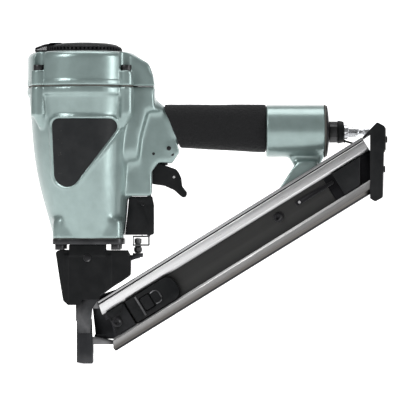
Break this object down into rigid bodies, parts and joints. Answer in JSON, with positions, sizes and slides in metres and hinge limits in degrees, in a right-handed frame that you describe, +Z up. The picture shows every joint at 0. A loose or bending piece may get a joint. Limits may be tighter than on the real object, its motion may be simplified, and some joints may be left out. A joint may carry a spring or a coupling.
{
  "type": "pneumatic nail gun",
  "caption": "Pneumatic finish nailer with angled stick magazine, contact safety arm, rotating exhaust deflector, padded grip and quarter-inch air plug",
  "frame": {"origin": "Muzzle of the contact tip, on the drive axis", "axes": "+Z up along the drive axis towards the cover, +X along the handle towards the air inlet, Y across the tool"},
  "size_m": [0.3287, 0.1014, 0.2944],
  "materials": {
    "housing_paint": "silver-green metallic paint on cast magnesium",
    "black_plastic": "black moulded glass-filled nylon",
    "grip_foam": "black textured soft sleeve",
    "black_steel": "black oxide steel",
    "dark_steel": "dark hardened steel",
    "bright_steel": "plain ground steel",
    "magazine_alloy": "brushed anodised aluminium extrusion",
    "inner_alloy": "turned aluminium",
    "plug_steel": "nickel plated steel",
    "seal_rubber": "moulded nitrile rubber",
    "gasket_sheet": "gasket sheet",
    "plate_black": "black satin name plate, no lettering",
    "brass_parts": "turned brass"
  },
  "bodies": {
    "root": {"housing": "housing_paint", "top_cover": "housing_paint", "label_plate": "plate_black", "cover_gasket": "gasket_sheet", "cover_bolts": "black_steel", "deflector_bolt": "black_steel", "cover_plug": "inner_alloy", "cylinder_sleeve": "inner_alloy", "sleeve_seal": "seal_rubber", "piston_bumper": "seal_rubber", "head_valve_spring": "bright_steel", "grip_sleeve": "grip_foam", "end_gasket": "gasket_sheet", "handle_end_cap": "black_steel", "inlet_bushing": "black_steel", "dust_ring": "black_plastic", "dust_cap_strap": "black_plastic", "air_plug": "plug_steel", "inlet_screen": "brass_parts", "trigger_pin": "black_steel", "valve_dowel": "black_steel", "valve_roll_pin": "black_steel", "valve_body": "black_plastic", "plunger_spring": "bright_steel", "nose_gasket": "gasket_sheet", "nose": "dark_steel", "nose_bolts": "black_steel", "nose_cover": "black_plastic", "nose_cover_screw": "black_steel", "lever_guard": "black_plastic", "contact_spring": "bright_steel", "lever_guide_pin": "black_steel", "magazine_body": "magazine_alloy", "nail_guide": "dark_steel", "front_block": "black_plastic", "tail_block": "black_plastic", "stop_lever_pin": "bright_steel", "front_bolt": "bright_steel", "bracket_bolt": "bright_steel", "magazine_nuts": "bright_steel", "magazine_end_cap": "black_plastic", "tail_screws": "black_steel"},
    "trigger": {"trigger": "black_plastic", "trigger_arm_pin": "bright_steel"},
    "trigger_arm": {"trigger_arm": "bright_steel"},
    "valve": {"valve_plunger": "bright_steel"},
    "contact_arm": {"contact_tip": "dark_steel", "adjuster_stud": "bright_steel", "push_lever": "black_steel"},
    "adjuster": {"adjuster_knob": "black_steel"},
    "piston": {"piston": "inner_alloy", "piston_ring": "seal_rubber", "driver_blade": "bright_steel"},
    "head_valve": {"head_valve": "black_plastic", "head_valve_seal": "seal_rubber"},
    "deflector": {"exhaust_deflector": "black_plastic"},
    "feeder": {"nail_feeder": "black_plastic", "feeder_spring": "bright_steel"},
    "release": {"feeder_release": "black_plastic"},
    "stop_lever": {"stop_lever": "bright_steel"}
  },
  "joints": [
    {"name": "trigger_pull", "type": "hinge", "parent": "root", "child": "trigger", "pos_m": [0.0642, 0, 0.1923], "axis": [0, -1, 0], "range_deg": [0, 11], "stiffness_Nm_per_rad": 0.15, "springref_deg": -8.59},
    {"name": "trigger_arm_tilt", "type": "hinge", "parent": "trigger", "child": "trigger_arm", "pos_m": [0.0828, 0, 0.171], "axis": [0, 1, 0], "range_deg": [0, 2], "stiffness_Nm_per_rad": 0.02, "springref_deg": -5.73},
    {"name": "valve_lift", "type": "slide", "parent": "root", "child": "valve", "axis": [0, 0, 1], "range_m": [0, 0.0024], "deforming": ["plunger_spring"]},
    {"name": "contact_arm_slide", "type": "slide", "parent": "root", "child": "contact_arm", "axis": [0, 0, 1], "range_m": [0, 0.008], "stiffness_N_per_m": 400, "springref_m": -0.01, "deforming": ["contact_spring"]},
    {"name": "adjuster_turn", "type": "hinge", "parent": "contact_arm", "child": "adjuster", "pos_m": [0.0497, 0, 0.105], "axis": [0, 0, 1], "continuous": true},
    {"name": "piston_stroke", "type": "slide", "parent": "root", "child": "piston", "axis": [0, 0, -1], "range_m": [0, 0.066]},
    {"name": "head_valve_lift", "type": "slide", "parent": "root", "child": "head_valve", "axis": [0, 0, 1], "range_m": [0, 0.005], "stiffness_N_per_m": 1500, "springref_m": -0.006, "deforming": ["head_valve_spring"]},
    {"name": "deflector_turn", "type": "hinge", "parent": "root", "child": "deflector", "pos_m": [0, 0, 0.29], "axis": [0, 0, 1], "continuous": true},
    {"name": "feeder_slide", "type": "slide", "parent": "root", "child": "feeder", "axis": [0.8462, -0.0889, 0.5255], "range_m": [0, 0.104]},
    {"name": "release_press", "type": "slide", "parent": "feeder", "child": "release", "axis": [0.1045, 0.9945, 0], "range_m": [0, 0.0015], "stiffness_N_per_m": 400, "springref_m": -0.002},
    {"name": "stop_lever_swing", "type": "hinge", "parent": "root", "child": "stop_lever", "pos_m": [0.19735, -0.02255, 0.14806], "axis": [0.1045, 0.9945, 0], "range_deg": [-3, 6]}
  ],
  "couplings": [
    {"joint": "valve_lift", "follows": "trigger_pull", "m_per_rad": 0.01198}
  ]
}
